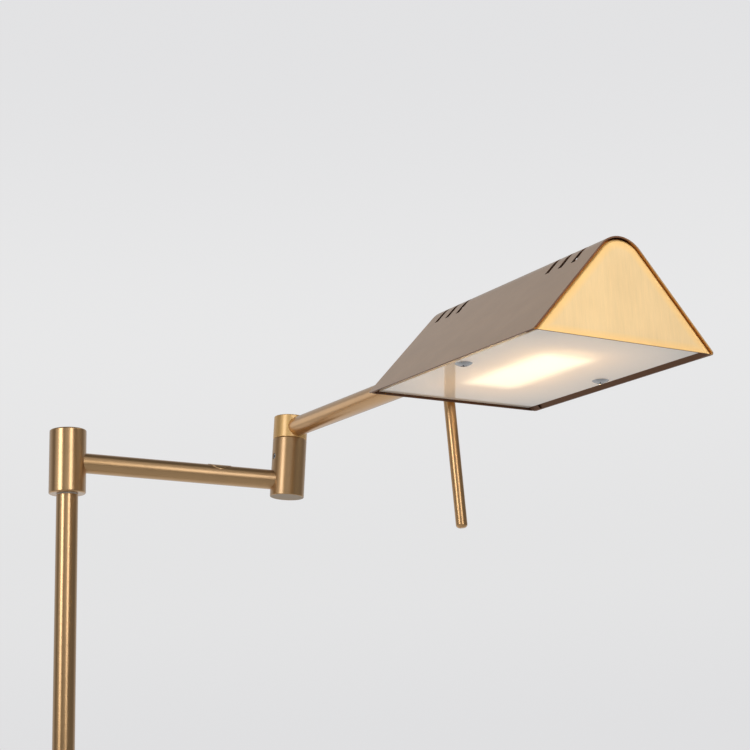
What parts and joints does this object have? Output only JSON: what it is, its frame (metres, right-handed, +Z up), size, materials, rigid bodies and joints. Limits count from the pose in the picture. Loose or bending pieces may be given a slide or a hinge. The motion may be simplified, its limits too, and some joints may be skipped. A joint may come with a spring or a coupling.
{
  "type": "pharmacy floor lamp",
  "caption": "Floor lamp with a weighted round base, a straight post, two swivelling arms and a tent-shaped metal head that holds frosted glass over an LED light.",
  "frame": {"origin": "on the post axis, on the floor plane under the base", "axes": "+Z up along the post, +X along the first arm as it stands, seen from above; the second arm and head point towards -Y"},
  "size_m": [0.498, 0.5391, 1.3137],
  "materials": {
    "aged_brass": "brushed and lacquered, antique brass",
    "bronze_brass": "fine brushed sheet, antique bronze brass",
    "gold_brass": "vertically brushed sheet, warm gold brass",
    "zinc_steel": "bright zinc-plated steel",
    "cast_iron": "raw casting",
    "felt": "pressed felt",
    "nylon": "moulded nylon",
    "black_plastic": "moulded plastic",
    "frosted_glass": "satin upper face, polished lower face",
    "white_paint": "white powder coat",
    "opal": "opal diffuser, lit",
    "phosphor": "LED phosphor",
    "aluminium": "extruded aluminium"
  },
  "bodies": {
    "stand": {"base_felt": "felt", "base_weight": "cast_iron", "base_cover": "aged_brass", "led_driver": "nylon", "cable_gland": "black_plastic", "gland_nut": "zinc_steel", "foot_nipple": "zinc_steel", "base_washer": "zinc_steel", "base_nut": "zinc_steel", "foot_collar": "aged_brass", "post_foot_plug": "zinc_steel", "lower_post_tube": "aged_brass", "post_coupler": "zinc_steel", "upper_post_tube": "aged_brass", "post_top_plug": "zinc_steel", "swivel_nipple": "zinc_steel", "swivel_spring_washer": "zinc_steel", "swivel_nut": "zinc_steel"},
    "first_arm": {"swivel_washer": "nylon", "post_collar": "aged_brass", "collar_cap": "aged_brass", "first_arm_tube": "aged_brass", "dimmer_ring": "aged_brass", "dimmer_switch": "black_plastic", "dimmer_spring": "zinc_steel", "elbow_lower": "aged_brass", "elbow_plug": "aged_brass", "elbow_washer": "nylon", "elbow_set_screw": "zinc_steel"},
    "dimmer": {"dimmer_button": "gold_brass"},
    "second_arm": {"elbow_upper": "aged_brass", "elbow_cap": "aged_brass", "elbow_pivot": "zinc_steel", "second_arm_tube": "aged_brass", "head_spigot": "zinc_steel", "head_spring_washer": "zinc_steel", "head_stem_nut": "zinc_steel"},
    "head": {"head_hub": "aged_brass", "hub_ring_nut": "zinc_steel", "handle_rod": "aged_brass", "shade_roof": "bronze_brass", "near_end_cap": "gold_brass", "far_end_cap": "gold_brass", "glass_plate": "frosted_glass", "glass_screws": "zinc_steel", "glass_brackets": "white_paint", "inner_plate": "white_paint", "led_diffuser": "opal", "led_housing": "nylon", "led_chips": "phosphor", "led_board": "white_paint", "heat_sink": "aluminium", "heat_sink_screws": "zinc_steel", "terminal_block": "nylon"}
  },
  "joints": [
    {"name": "collar_swivel", "type": "hinge", "parent": "stand", "child": "first_arm", "pos_m": [0, 0, 1.25], "axis": [0, 0, 1], "range_deg": [-165, 165]},
    {"name": "dimmer_push", "type": "slide", "parent": "first_arm", "child": "dimmer", "axis": [-0.0785, 0, -0.9969], "range_m": [0, 0.0005], "stiffness_N_per_m": 400, "deforming": ["dimmer_spring"]},
    {"name": "elbow_swivel", "type": "hinge", "parent": "first_arm", "child": "second_arm", "pos_m": [0.17745, 0, 1.23603], "axis": [0.0785, 0, 0.9969], "range_deg": [-77, 223]},
    {"name": "head_roll", "type": "hinge", "parent": "second_arm", "child": "head", "pos_m": [0.25026, -0.2276, 1.27424], "axis": [0.2915, -0.9563, -0.0229], "range_deg": [-65, 55]}
  ]
}
